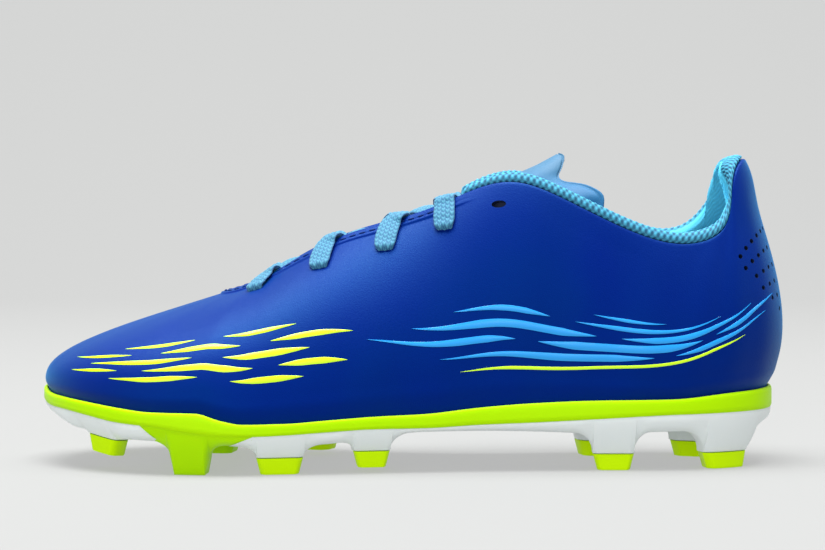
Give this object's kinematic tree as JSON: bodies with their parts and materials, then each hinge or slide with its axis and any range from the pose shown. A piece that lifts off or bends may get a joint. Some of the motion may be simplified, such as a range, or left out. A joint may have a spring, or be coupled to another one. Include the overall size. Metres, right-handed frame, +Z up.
{
  "type": "soccer cleat",
  "caption": "Low-cut laced soccer cleat with a hollow synthetic upper, padded mesh collar, tongue, insole and a two-colour studded outsole.",
  "frame": {"origin": "on the floor, at the middle of the shoe's bounding box", "axes": "-X towards the toe and +X towards the heel, -Y towards the outer (lateral) side, +Z up"},
  "size_m": [0.2358, 0.0835, 0.0982],
  "materials": {
    "sole_lime": "satin moulded",
    "sole_white": "satin moulded",
    "upper_blue": "satin coated synthetic with a fine grain",
    "collar_knit": "padded mesh",
    "tongue_cloth": "smooth cloth",
    "insole_cloth": "fine cloth",
    "lace_knit": "flat knit"
  },
  "bodies": {
    "root": {"outsole_tray": "sole_lime", "outsole_toe_frame": "sole_white", "outsole_rear_frame": "sole_white", "upper": "upper_blue", "collar_lining": "collar_knit", "tongue": "tongue_cloth", "insole": "insole_cloth", "stud_tip_toe_lateral": "sole_lime", "stud_tip_toe_medial": "sole_lime", "stud_tip_fore_lateral": "sole_lime", "stud_tip_fore_medial": "sole_lime", "stud_tip_waist_lateral": "sole_lime", "stud_tip_heel_front_lateral": "sole_lime", "stud_tip_heel_front_medial": "sole_lime", "stud_tip_heel_back_lateral": "sole_lime", "stud_tip_heel_back_medial": "sole_lime", "lace_1": "lace_knit", "lace_2": "lace_knit", "lace_3": "lace_knit", "lace_4": "lace_knit"}
  },
  "joints": []
}
